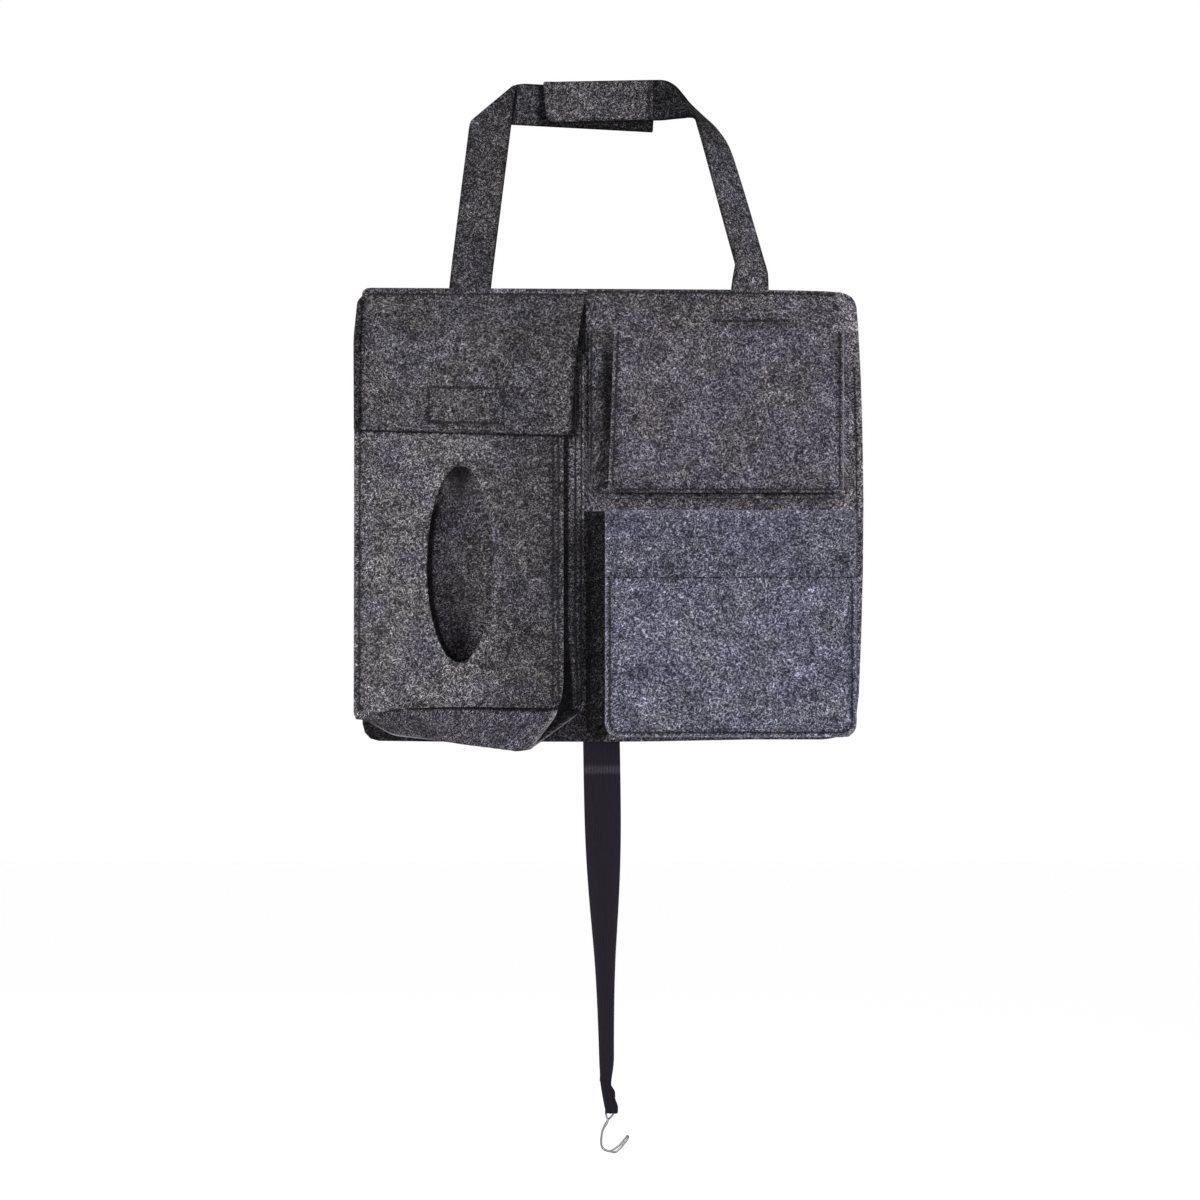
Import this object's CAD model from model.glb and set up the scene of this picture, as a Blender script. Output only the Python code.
import math

import bpy
import numpy as np
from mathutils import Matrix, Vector
from mathutils.geometry import delaunay_2d_cdt
from mathutils.kdtree import KDTree


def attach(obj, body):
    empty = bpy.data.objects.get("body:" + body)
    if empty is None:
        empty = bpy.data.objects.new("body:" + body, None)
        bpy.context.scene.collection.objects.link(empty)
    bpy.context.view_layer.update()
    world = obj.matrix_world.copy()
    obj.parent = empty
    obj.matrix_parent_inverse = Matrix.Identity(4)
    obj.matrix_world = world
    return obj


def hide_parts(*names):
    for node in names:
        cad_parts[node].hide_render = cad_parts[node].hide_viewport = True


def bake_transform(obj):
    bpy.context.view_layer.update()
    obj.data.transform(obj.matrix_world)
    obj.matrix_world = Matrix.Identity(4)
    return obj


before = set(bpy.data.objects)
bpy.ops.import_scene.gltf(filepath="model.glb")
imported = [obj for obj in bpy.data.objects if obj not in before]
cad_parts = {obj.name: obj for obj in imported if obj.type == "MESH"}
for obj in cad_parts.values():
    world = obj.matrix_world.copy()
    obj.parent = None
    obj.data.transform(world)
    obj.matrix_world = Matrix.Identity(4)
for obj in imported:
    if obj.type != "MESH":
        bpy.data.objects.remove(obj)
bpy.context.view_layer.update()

MM = 0.001

# How far a sewn groove is darkened by shade and dust
SEAM_SHADE = 0.93
# How pale a worn edge gets, where the darkness is negative
LIT_SHARE = 0.3

# Sizes shared with the part's source
CLEAR = 0.3
FELT = 2.5
PANEL_FELT = 3.0
PANEL_WIDTH = 420
PANEL_HEIGHT = 380
STRAP_RISE = 138.6
STRAP_FELT = 2.6
LEFT_STRAP_WIDTH = 35
RIGHT_STRAP_WIDTH = 34
FOOT_HEIGHT = 32
# Heights between which the strap bends at the panel's top edge
STRAP_BEND = (-129, -140)
LEFT_LEAN = math.radians(7.2)
BAND_SLOPE = math.radians(-3.1)
BAND_SAG = 3.2
BAND_END = 37.8
LEFT_FOOT_X = -119.6
TAB_HINGE = 32.8
TAB_LENGTH = 88.2
PATCH_FELT = 0.9
STRAP_PATCH = (62, 24)
FLAP_PATCH = (66, 32)
# Middle of the stitched rectangle on the flap
FLAP_PATCH_X = -120.6
FLAP_PATCH_SEEN_Z = -236.5
FLANGE = 5
POUCH_FOLD = 12
POCKET_FOLD = 9
FLAP_LENGTH = 81
FLAP_OFFSET = 6.45
FLAP_HINGE = (-3.05, -146.6)
FLOOR_DROP = 32
FLOOR_DROP_SHARES = [
    (0, 0.05), (0.05, 0.2), (0.13, 0.42), (0.18, 0.54), (0.43, 0.665), (0.59, 0.77), (0.93, 0.95), (1, 0.88)
]
SLIP_GAP = 6
SLIP_RAMP = 22
POUCH_DEPTHS = (14, 34)
POUCH_HEIGHT = 312
UPPER_DEPTH = 12
LOWER_DEPTH = 23
ELASTIC_WIDTH = 31
ELASTIC_FELT = 1.6
ELASTIC_LENGTH = 285
ELASTIC_FOOT_HEIGHT = 26
ELASTIC_DRIFT = 4.6
ELASTIC_CURL_RADIUS = 5.5
ELASTIC_FLATTENING = 0.45
ELASTIC_X = -8.82
ELASTIC_Y = 2.2
WIRE = 1.8
LOOP_LENGTH = 24

PANEL_TOP = -STRAP_RISE
PANEL_BOTTOM = PANEL_TOP - PANEL_HEIGHT
STRAP_AXIS_Z = -136.8
ELASTIC_TOP = -519.7
ELASTIC_BOTTOM = ELASTIC_TOP - ELASTIC_LENGTH
LOOP_TOP = ELASTIC_BOTTOM - CLEAR
BAR_Z = LOOP_TOP - LOOP_LENGTH
LOOP_X = ELASTIC_X + ELASTIC_DRIFT
LOOP_Y = ELASTIC_Y + ELASTIC_FELT


def across(share):
    return PANEL_WIDTH * share


def down(share):
    return PANEL_TOP - PANEL_HEIGHT * share


def lerp(a, b, t):
    return a + (b - a) * t


def smoothstep(x, low, high):
    t = np.clip((np.asarray(x, float) - low) / (high - low), 0, 1)
    return t * t * (3 - 2 * t)


def unit(vectors):
    return vectors / np.maximum(np.linalg.norm(vectors, axis=-1, keepdims=True), 1e-9)


# Node materials
def add_node(tree, kind, settings=None, **inputs):
    node = tree.nodes.new(kind)
    for key, value in (settings or {}).items():
        setattr(node, key, value)
    for key, value in inputs.items():
        numbered = key[0] == "i" and key[1:].isdigit()
        socket = node.inputs[int(key[1:]) if numbered else key.replace("_", " ")]
        if isinstance(value, bpy.types.NodeSocket):
            tree.links.new(value, socket)
        else:
            socket.default_value = value
    return node


def math_node(tree, operation, a, b=0.0, c=0.0, clamp=False):
    node = add_node(tree, "ShaderNodeMath", {"operation": operation, "use_clamp": clamp}, i0=a, i1=b, i2=c)
    return node.outputs[0]


def ramp(tree, factor, stops):
    node = add_node(tree, "ShaderNodeValToRGB", Fac=factor)
    elements = node.color_ramp.elements
    while len(elements) < len(stops):
        elements.new(0.5)
    for element, (position, value) in zip(elements, stops):
        element.position = position
        element.color = (value, value, value, 1)
    return node.outputs["Color"]


def mix_colour(tree, factor, a, b, blend="MIX"):
    node = add_node(tree, "ShaderNodeMix", {"data_type": "RGBA", "blend_type": blend})
    for index, value in ((0, factor), (6, a), (7, b)):
        if isinstance(value, bpy.types.NodeSocket):
            tree.links.new(value, node.inputs[index])
        else:
            node.inputs[index].default_value = value
    return node.outputs[2]


def linear(red, green, blue):
    def channel(value):
        share = value / 255
        return share / 12.92 if share <= 0.04045 else ((share + 0.055) / 1.055) ** 2.4

    return (channel(red), channel(green), channel(blue), 1)


def new_material(name):
    material = bpy.data.materials.new(name)
    material.use_nodes = True
    tree = material.node_tree
    tree.nodes.clear()
    output = tree.nodes.new("ShaderNodeOutputMaterial")
    shader = tree.nodes.new("ShaderNodeBsdfPrincipled")
    tree.links.new(shader.outputs[0], output.inputs["Surface"])
    return material, tree, shader


def finish_shader(tree, shader, colour, bump=None, **values):
    tree.links.new(colour, shader.inputs["Base Color"])
    if bump:
        tree.links.new(bump.outputs[0], shader.inputs["Normal"])
    for name, value in values.items():
        shader.inputs[name.replace("_", " ")].default_value = value


def cloth_place(tree):
    return add_node(tree, "ShaderNodeAttribute", {"attribute_name": "rest_place"}).outputs["Vector"]


def noise(tree, vector, scale, detail=2.0, roughness=0.5, distortion=0.0):
    return add_node(
        tree, "ShaderNodeTexNoise", None,
        Vector=vector, Scale=scale, Detail=detail, Roughness=roughness, Distortion=distortion,
    )


# How much darker or lighter each cloth is at places across it or along it, in mm
LEFT_STRAP_TONES = [
    (-40, 1.0), (142, 1.0), (152, 0.8), (170, 0.72), (174, 1.0), (190, 0.95), (194, 0.6), (197, 0.25),
    (300, 0.28),
]
RIGHT_STRAP_TONES = [(0, 1.12), (140, 1.12), (165, 0.9), (180, 0.3), (230, 0.28)]
PANEL_TONES = [
    (-210, 1.0), (-156, 0.8), (-136, 0.72), (-114, 1.0), (-96, 1.5), (-80, 1.0), (184, 1.0), (194, 1.55),
    (212, 1.55),
]
FLANGE_TONES = [(0, 0.9), (80, 1.0), (146, 1.15), (149, 0.52), (308, 0.38)]
POUCH_TONES = [(-212, 1.0), (-120, 0.97), (-85, 0.58), (-52, 0.53), (-46, 0.6), (-40, 0.75)]
FLAP_TONES = [(-215, 0.5), (-208.6, 0.55), (-207.4, 1.0), (-112, 1.0), (-82, 0.82), (-22, 0.86)]

# Heathered felt: pale fibres that lie in all directions on a charcoal ground
FIBRE_ANGLES = (8, 43, 79, 118, 155)
FIBRE_SIZE = (2.9, 0.58, 1.0)
FIBRE_BEND = 4.0
FIBRE_STOPS = [(0.52, 0.0), (0.64, 0.08), (0.675, 0.18), (0.735, 1.0)]


def fibres(tree, place, angle, k):
    laid = add_node(
        tree, "ShaderNodeMapping", {"vector_type": "TEXTURE"},
        Vector=place, Location=(31.0 * k, 17.0 * k, 5.0 * k), Rotation=(0, 0, math.radians(angle)),
        Scale=FIBRE_SIZE,
    ).outputs[0]
    return ramp(tree, noise(tree, laid, 1.0, 0.6, 0.4).outputs["Fac"], FIBRE_STOPS)


def toned(tree, colour, share_toned, place, tones):
    low, high = tones[0][0], tones[-1][0]
    share = add_node(tree, "ShaderNodeMapRange", None, Value=place, From_Min=low, From_Max=high).outputs[0]
    stops = [((at - low) / (high - low), tone) for at, tone in tones]
    return mix_colour(tree, share_toned, colour, ramp(tree, share, stops), "MULTIPLY")


def felt_material(name, colours, level=1.0, shift=0.0, across_tones=None, along_tones=None, back_toned=True):
    ground, light, dark = colours
    material, tree, shader = new_material(name)
    origin = cloth_place(tree)
    place = add_node(
        tree, "ShaderNodeVectorMath", {"operation": "ADD"}, i0=origin, i1=(shift, shift / 2, 0)
    ).outputs[0]
    bend = noise(tree, place, 0.22, 1.0).outputs["Color"]
    bend = add_node(
        tree, "ShaderNodeVectorMath", {"operation": "SUBTRACT"}, i0=bend, i1=(0.5, 0.5, 0.5)
    ).outputs[0]
    bend = add_node(
        tree, "ShaderNodeVectorMath", {"operation": "SCALE"}, i0=bend, Scale=FIBRE_BEND
    ).outputs[0]
    bent = add_node(tree, "ShaderNodeVectorMath", {"operation": "ADD"}, i0=place, i1=bend).outputs[0]
    strands = None
    for k, angle in enumerate(FIBRE_ANGLES):
        strand = fibres(tree, bent, angle, k)
        strands = strand if strands is None else math_node(tree, "MAXIMUM", strands, strand)
    grain = noise(tree, place, 1.5, 1.0).outputs["Fac"]
    strength = ramp(tree, noise(tree, place, 0.16, 4.0, 0.65).outputs["Fac"], [(0.34, 0.45), (0.64, 1.15)])
    body = mix_colour(tree, ramp(tree, grain, [(0.35, 0), (0.62, 1)]), dark, ground)
    body = mix_colour(tree, math_node(tree, "MULTIPLY", strands, strength), body, light)
    blotch = noise(tree, place, 0.05, 4.0, 0.62).outputs["Fac"]
    body = mix_colour(
        tree, 1.0, body, ramp(tree, blotch, [(0.33, 0.62 * level), (0.67, 1.24 * level)]), "MULTIPLY"
    )
    hue = ramp(tree, noise(tree, place, 0.022, 3.0).outputs["Fac"], [(0.42, 0), (0.58, 1)])
    hue = mix_colour(tree, hue, (1.015, 0.995, 0.985, 1), (0.98, 0.985, 1.07, 1))
    body = mix_colour(tree, 1.0, body, hue, "MULTIPLY")
    split = add_node(tree, "ShaderNodeSeparateXYZ", None, Vector=origin)
    on_side = 1.0 if back_toned else math_node(tree, "GREATER_THAN", split.outputs[2], 0.0)
    if across_tones:
        body = toned(tree, body, on_side, split.outputs[0], across_tones)
    if along_tones:
        body = toned(tree, body, on_side, split.outputs[1], along_tones)
    seam = add_node(tree, "ShaderNodeAttribute", {"attribute_name": "seam"}).outputs["Fac"]
    shade = math_node(tree, "MULTIPLY", math_node(tree, "POWER", seam, 0.7, clamp=True), SEAM_SHADE)
    body = mix_colour(tree, shade, body, (0.002, 0.002, 0.003, 1))
    body = mix_colour(tree, math_node(tree, "MULTIPLY", seam, -LIT_SHARE, clamp=True), body, light)
    height = math_node(tree, "MULTIPLY_ADD", grain, 0.9, strands)
    bump = add_node(tree, "ShaderNodeBump", None, Strength=0.8, Distance=0.0005, Height=height)
    finish_shader(tree, shader, body, bump, Roughness=0.95, Specular_IOR_Level=0.03)
    return material


# Spacing of the elastic's ribs and of the threads across them
RIB_PITCH = 1.25
PICK_PITCH = 0.9


def webbing_material(name):
    material, tree, shader = new_material(name)
    place = cloth_place(tree)
    split = add_node(tree, "ShaderNodeSeparateXYZ", None, Vector=place)
    wander = math_node(tree, "MULTIPLY", noise(tree, place, 0.08, 2.0).outputs["Fac"], 1.2)
    across_ribs = math_node(tree, "ADD", split.outputs[0], wander)
    rib = math_node(tree, "SINE", math_node(tree, "MULTIPLY", across_ribs, math.tau / RIB_PITCH))
    pick = math_node(tree, "SINE", math_node(tree, "MULTIPLY", split.outputs[1], math.tau / PICK_PITCH))
    fine = noise(tree, place, 1.6, 2.0, 0.6).outputs["Fac"]
    height = math_node(tree, "ADD", rib, math_node(tree, "MULTIPLY", pick, 0.25))
    height = math_node(tree, "ADD", height, math_node(tree, "MULTIPLY", fine, 0.8))
    tone = math_node(tree, "MULTIPLY_ADD", rib, 0.32, 0.5)
    tone = math_node(tree, "ADD", tone, math_node(tree, "MULTIPLY_ADD", fine, 0.9, -0.45), clamp=True)
    colour = mix_colour(tree, tone, linear(9, 7, 12), linear(41, 34, 49))
    drawn = add_node(tree, "ShaderNodeAttribute", {"attribute_name": "seam"}).outputs["Fac"]
    drawn = math_node(tree, "MULTIPLY", drawn, math_node(tree, "MULTIPLY_ADD", rib, 0.5, 0.2, clamp=True))
    colour = mix_colour(tree, drawn, colour, linear(132, 126, 138))
    bump = add_node(tree, "ShaderNodeBump", None, Strength=0.7, Distance=0.0004, Height=height)
    finish_shader(tree, shader, colour, bump, Roughness=0.8, Specular_IOR_Level=0.2, Sheen_Weight=0.02)
    return material


def tape_material(name, scale, strength):
    material, tree, shader = new_material(name)
    place = cloth_place(tree)
    cells = add_node(tree, "ShaderNodeTexVoronoi", None, Vector=place, Scale=scale, Randomness=0.5).outputs["Distance"]
    fuzz = noise(tree, place, 2.2, 3.0, 0.7).outputs["Fac"]
    height = math_node(tree, "ADD", math_node(tree, "MULTIPLY", cells, -1.0), fuzz)
    colour = mix_colour(tree, height, linear(8, 8, 10), linear(33, 32, 37))
    bump = add_node(tree, "ShaderNodeBump", None, Strength=strength, Distance=0.0006, Height=height)
    finish_shader(tree, shader, colour, bump, Roughness=0.75)
    return material


def thread_material(name, shade):
    material, tree, shader = new_material(name)
    place = add_node(tree, "ShaderNodeTexCoord").outputs["Object"]
    twist = noise(tree, place, 2600.0, 2.0).outputs["Fac"]
    dark, light = [linear(*[level * value for value in shade]) for level in (0.6, 1.3)]
    colour = mix_colour(tree, twist, dark, light)
    finish_shader(tree, shader, colour, Roughness=0.6)
    return material


def steel_material(name):
    material, tree, shader = new_material(name)
    place = add_node(tree, "ShaderNodeTexCoord").outputs["Object"]
    drawn = add_node(tree, "ShaderNodeMapping", None, Vector=place, Scale=(900, 900, 90)).outputs[0]
    marks = noise(tree, drawn, 1.0, 3.0, 0.6).outputs["Fac"]
    colour = mix_colour(tree, marks, linear(74, 74, 78), linear(160, 160, 164))
    finish_shader(tree, shader, colour, Metallic=1.0)
    tree.links.new(math_node(tree, "MULTIPLY_ADD", marks, 0.2, 0.2), shader.inputs["Roughness"])
    return material


GREY = (linear(57, 54, 61), linear(255, 248, 255), linear(9, 8, 12))
CHARCOAL = (linear(56, 54, 58), linear(255, 251, 255), linear(9, 8, 11))
PURPLISH = (linear(57, 55, 65), linear(252, 245, 255), linear(9, 8, 14))
BLUISH = (linear(55, 55, 72), linear(236, 236, 255), linear(9, 9, 19))
felt_panel = felt_material("felt_panel", GREY, 0.78, 0.0, PANEL_TONES, back_toned=False)
felt_left_strap = felt_material("felt_left_strap", CHARCOAL, 0.49, 100.0, None, LEFT_STRAP_TONES)
felt_right_strap = felt_material("felt_right_strap", CHARCOAL, 0.64, 150.0, None, RIGHT_STRAP_TONES)
felt_tab = felt_material("felt_tab", CHARCOAL, 0.65, 700.0)
felt_pouch = felt_material("felt_pouch", CHARCOAL, 0.94, 200.0, POUCH_TONES)
felt_flap = felt_material("felt_flap", CHARCOAL, 0.68, 600.0, FLAP_TONES)
felt_upper = felt_material("felt_upper", PURPLISH, 0.81, 400.0)
felt_lower = felt_material("felt_lower", BLUISH, 1.13, 500.0)
felt_rear = felt_material("felt_rear", BLUISH, 0.98, 1200.0)
felt_floor = felt_material("felt_floor", PURPLISH, 0.66, 300.0)
felt_gusset = felt_material("felt_gusset", CHARCOAL, 0.9, 900.0)
felt_flange = felt_material("felt_flange", CHARCOAL, 1.05, 1000.0, None, FLANGE_TONES)
felt_margin = felt_material("felt_margin", PURPLISH, 1.1, 1100.0)
felt_shaded = felt_material("felt_shaded", CHARCOAL, 0.17, 800.0)
webbing = webbing_material("elastic_webbing")
hook_tape = tape_material("hook_tape", 0.9, 0.9)
loop_tape = tape_material("loop_tape", 0.5, 0.5)
thread = thread_material("grey_thread", (15, 14, 17))
steel = steel_material("bright_wire")


# Flat cuts of cloth: closed loops and lines in the cloth's own plane
def densify(points, spacing, closed=True):
    points = np.asarray(points, float)
    following = np.roll(points, -1, axis=0)
    dense = []
    for a, b in list(zip(points, following))[: len(points) if closed else -1]:
        parts = max(1, math.ceil(np.linalg.norm(b - a) / spacing))
        dense.extend(lerp(a, b, k / parts) for k in range(parts))
    if not closed:
        dense.append(points[-1])
    return np.array(dense)


def signed_area(loop):
    following = np.roll(loop, -1, axis=0)
    return 0.5 * float(np.sum(loop[:, 0] * following[:, 1] - following[:, 0] * loop[:, 1]))


def inset(loop, distance):
    into = unit(loop - np.roll(loop, 1, axis=0))
    out = unit(np.roll(loop, -1, axis=0) - loop)
    side_in = np.c_[-into[:, 1], into[:, 0]]
    normal = unit(side_in + np.c_[-out[:, 1], out[:, 0]])
    reach = 1 / np.maximum(np.sum(normal * side_in, axis=1), 0.5)
    return loop + normal * (reach * distance)[:, None]


def inside(points, loops):
    hit = np.zeros(len(points), bool)
    for loop in loops:
        for a, b in zip(loop, np.roll(loop, -1, axis=0)):
            if a[1] == b[1]:
                continue
            crosses = (a[1] > points[:, 1]) != (b[1] > points[:, 1])
            hit ^= crosses & (points[:, 0] < a[0] + (points[:, 1] - a[1]) * (b[0] - a[0]) / (b[1] - a[1]))
    return hit


def nearest(points, targets):
    tree = KDTree(len(targets))
    for k, target in enumerate(targets):
        tree.insert((target[0], target[1], 0), k)
    tree.balance()
    found = [tree.find((p[0], p[1], 0)) for p in points]
    return np.array([f[1] for f in found], int), np.array([f[2] for f in found])


def rounded(corners, radii, steps=8):
    corners = np.asarray(corners, float)
    loop = []
    for k, (corner, radius) in enumerate(zip(corners, radii)):
        if not radius:
            loop.append(corner)
            continue
        start = corner + unit(corners[k - 1] - corner) * radius
        end = corner + unit(corners[(k + 1) % len(corners)] - corner) * radius
        for t in np.linspace(0, 1, steps):
            loop.append(lerp(lerp(start, corner, t), lerp(corner, end, t), t))
    return np.array(loop)


def rectangle(s0, s1, t0, t1, radius=0):
    return rounded([(s0, t0), (s1, t0), (s1, t1), (s0, t1)], [radius] * 4)


def closed_line(loop):
    return np.vstack([loop, loop[:1]])


STITCH_PITCH = 3.2
GROOVE_DEPTH = 0.8
GROOVE_WIDTH = 0.9
GROOVE_SHADE = 1.3


def seam_points(line):
    dense = densify(line, STITCH_PITCH / 2, closed=False)
    run = np.r_[0, np.cumsum(np.linalg.norm(np.diff(dense, axis=0), axis=1))]
    return dense, run


def beside(line, offset):
    ahead = unit(np.gradient(line, axis=0))
    return line + np.c_[-ahead[:, 1], ahead[:, 0]] * offset


def groove(flat, seams):
    depth = np.zeros(len(flat))
    for line in seams:
        dense, run = seam_points(line)
        index, distance = nearest(flat, dense)
        pull = 0.72 + 0.28 * np.cos(math.tau * run[index] / STITCH_PITCH)
        depth = np.maximum(depth, GROOVE_DEPTH * np.exp(-((distance / GROOVE_WIDTH) ** 2)) * pull)
    return depth


def surface_frame(surface, flat):
    s, t = flat[:, 0], flat[:, 1]
    step = 0.2
    along_s = surface(s + step, t) - surface(s - step, t)
    along_t = surface(s, t + step) - surface(s, t - step)
    return surface(s, t), unit(np.cross(along_s, along_t))


def new_object(name, vertices, faces, material, places=None, dark=None):
    mesh = bpy.data.meshes.new(name)
    mesh.from_pydata((np.asarray(vertices) * MM).tolist(), [], faces)
    mesh.shade_smooth()
    mesh.materials.append(material)
    if places is not None:
        attribute = mesh.attributes.new("rest_place", "FLOAT_VECTOR", "POINT")
        attribute.data.foreach_set("vector", np.asarray(places, np.float32).ravel())
    if dark is not None:
        attribute = mesh.attributes.new("seam", "FLOAT", "POINT")
        attribute.data.foreach_set("value", dark.astype(np.float32))
    made = bpy.data.objects.new(name, mesh)
    bpy.context.scene.collection.objects.link(made)
    return made


# Rim of a cut edge: how far in, and the share of the half thickness there
RIM = ((0.0, 0.5), (0.3, 0.82), (0.9, 1.0))


def cloth(
    name, outline, surface, thickness, material, holes=(), seams=(), creases=(), grid=(3.0, 3.0), shade=None,
    shade_back=True,
):
    scale = np.array(grid)
    loops = []
    for k, loop in enumerate([outline, *holes]):
        dense = densify(loop, 2.0)
        if (signed_area(dense) > 0) != (k == 0):
            dense = dense[::-1]
        loops.append(dense)
    points, shares, edges = [], [], []
    for loop in loops:
        first = len(points)
        edges += [(first + k, first + (k + 1) % len(loop)) for k in range(len(loop))]
        for distance, share in RIM:
            points.extend(inset(loop, distance))
            shares.extend([share] * len(loop))
    kept_off = [np.array(points)]
    lines = [beside(seam_points(seam)[0], offset) for seam in seams for offset in (-1.2, -0.6, 0, 0.6, 1.2)]
    lines += [densify(line, max(grid), closed=False) for line in creases]
    for line in lines:
        fits = inside(line, loops) & (nearest(line, np.array(points))[1] > 0.25)
        points.extend(line[fits])
        shares.extend([1.0] * int(fits.sum()))
        kept_off.append(line)
    low, high = loops[0].min(axis=0), loops[0].max(axis=0)
    rows = np.arange(low[1], high[1], grid[1])
    s, t = np.meshgrid(np.arange(low[0], high[0], grid[0]), rows)
    s = s + (np.arange(len(rows)) % 2)[:, None] * grid[0] / 2
    inner = np.c_[s.ravel(), t.ravel()]
    inner = inner[inside(inner, loops)]
    gap = nearest(inner / scale, np.vstack(kept_off) / scale)[1]
    inner = inner[gap > 0.6]
    points = np.vstack([np.array(points), inner])
    shares = np.r_[shares, np.ones(len(inner))]
    made = delaunay_2d_cdt([Vector(p) for p in (points / scale).tolist()], edges, [], 1, 1e-6)
    flat = np.array([(v.x, v.y) for v in made[0]]) * scale
    share = np.array([max((shares[k] for k in origins), default=1.0) for origins in made[3]])
    faces = np.array(made[2], int)
    faces = faces[inside(flat[faces].mean(axis=1), loops)]
    used = np.unique(faces)
    index = -np.ones(len(flat), int)
    index[used] = np.arange(len(used))
    flat, share, faces = flat[used], share[used], index[faces]
    turned = np.cross(flat[faces[:, 1]] - flat[faces[:, 0]], flat[faces[:, 2]] - flat[faces[:, 0]]) < 0
    faces[turned] = faces[turned][:, ::-1]
    centre, normal = surface_frame(surface, flat)
    half = thickness / 2 * share
    sunk = groove(flat, seams)
    front = centre + normal * (half - sunk)[:, None]
    back = centre - normal * (half - 0.5 * sunk)[:, None]
    count = len(flat)
    directed = {(a, b) for f in faces.tolist() for a, b in ((f[0], f[1]), (f[1], f[2]), (f[2], f[0]))}
    rim = [(b, a, a + count, b + count) for a, b in directed if (b, a) not in directed]
    polygons = faces.tolist() + (faces[:, ::-1] + count).tolist() + sorted(rim)
    places = np.vstack([np.c_[flat, half], np.c_[flat, -half]])
    grooved = np.clip(GROOVE_SHADE * sunk / GROOVE_DEPTH, 0, 1)
    dark = grooved
    if shade:
        toned_by = shade(flat[:, 0], flat[:, 1])
        dark = np.where(grooved > 0.05, np.maximum(grooved, toned_by), toned_by)
    dark = np.r_[dark, dark if shade_back else grooved]
    return new_object(name, np.vstack([front, back]), polygons, material, places, dark)


# Cut edges that look darker than the cloth inside them
def dark_edge(outline, strength, reach):
    border = densify(outline, 1.0)
    return lambda s, t: strength * (1 - smoothstep(nearest(np.c_[s, t], border)[1], 0.2, reach))


THREAD_RADIUS = 0.5


def stitch_rows(name, seams, surface, thickness, side=1):
    vertices, faces = [], []
    rings, sides = 5, 6
    shares = np.linspace(0, 1, rings)
    widths = np.array([0.35, 0.95, 1.0, 0.95, 0.35])
    for line in seams:
        dense, run = seam_points(line)
        count = int(run[-1] / STITCH_PITCH)
        starts = (np.arange(count) + 0.1) * STITCH_PITCH
        at = (starts[:, None] + shares[None, :] * 0.8 * STITCH_PITCH).ravel()
        flat = np.c_[np.interp(at, run, dense[:, 0]), np.interp(at, run, dense[:, 1])]
        centre, normal = surface_frame(surface, flat)
        normal = normal * side
        arch = np.tile(0.22 * (1 - (2 * shares - 1) ** 2) - 0.12, count)
        centre = centre + normal * (thickness / 2 - 0.7 * GROOVE_DEPTH + arch)[:, None]
        centre = centre.reshape(count, rings, 3)
        normal = normal.reshape(count, rings, 3)
        ahead = unit(centre[:, -1] - centre[:, 0])[:, None, :]
        across_thread = unit(np.cross(np.broadcast_to(ahead, centre.shape), normal))
        for k in range(count):
            first = len(vertices)
            for r in range(rings):
                for m in range(sides):
                    angle = math.tau * m / sides
                    spoke = across_thread[k, r] * math.cos(angle) + normal[k, r] * math.sin(angle)
                    vertices.append(centre[k, r] + spoke * THREAD_RADIUS * widths[r])
            for r in range(rings - 1):
                for m in range(sides):
                    a = first + r * sides + m
                    b = first + r * sides + (m + 1) % sides
                    faces.append((a, b, b + sides, a + sides))
            faces.append(tuple(first + m for m in reversed(range(sides))))
            faces.append(tuple(first + (rings - 1) * sides + m for m in range(sides)))
    return new_object(name, np.array(vertices), faces, thread)


def ride(piece, body, slot, *replaced):
    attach(piece, body)
    if replaced:
        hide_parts(*replaced)


def bend(piece, slot, bodies, start_z, end_z, *replaced):
    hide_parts(*replaced)
    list(bodies)
    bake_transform(piece)


def flat_size(outline):
    loop = np.asarray(outline, float)
    size = loop.max(axis=0) - loop.min(axis=0)
    area = min(abs(signed_area(loop)) * MM * MM, float(size[0] * size[1]) * MM * MM)
    return (float(size[0]) * MM, float(size[1]) * MM), area


def declare(outline):
    flat, area = flat_size(outline)


# A piece of felt of the panel's body, with its rows of stitches
def sewn_felt(stem, outline, surface, thickness, material, seams, node, rests_on, cut_out=0.0, **cut):
    piece = cloth(stem + "_cloth", outline, surface, thickness, material, seams=seams, **cut)
    threads = stitch_rows(stem + "_stitches", seams, surface, thickness)
    ride(piece, "panel", "felt", node)
    ride(threads, "panel", "felt")
    declare(outline)


# Back panel: nearly rectangular, its right edge bowed out a little and its top right corner cut round
panel_outline = np.vstack([
    rounded([(-210, PANEL_BOTTOM + 1), (-209.8, -290)], [0, 0]),
    [(-210, -160), (-210, -141.2), (-209, -138.8), (-206.5, -137), (-203, -136.5)],
    [(-100, -137.1), (0, -137.5), (100, -138.1), (150, -138.7), (178, -139.4), (192, -140.4)],
    [(197, -142), (201.5, -144.6), (204.2, -148.6), (205.6, -153.5)],
    [(206.6, -166), (207.8, -185), (209.2, -214), (210.6, -260), (211.4, -315), (211, -370), (209.5, -430)],
    [(207.4, -480), (205.4, -494), (202.2, -502), (196, -508.4), (186, -512.4)],
    [(172, -514.2), (110, -516.4), (40, -517.8), (0, -518.2)],
    [(-150, -518), (-196, -517.4), (-203, -515.5), (-207.6, -510.5), (-209.7, -503)],
])[2:]


def panel_surface(s, t):
    return np.stack([s, PANEL_FELT / 2 + 0 * s, t], axis=-1)


# The panel is dark where the flap, the pouch's face and its floor keep the light off it
seen_middle, seen_reach = np.array([-126.0, -369.6]), np.array([27.7, 82.3])
CRESCENT = 0.11


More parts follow.
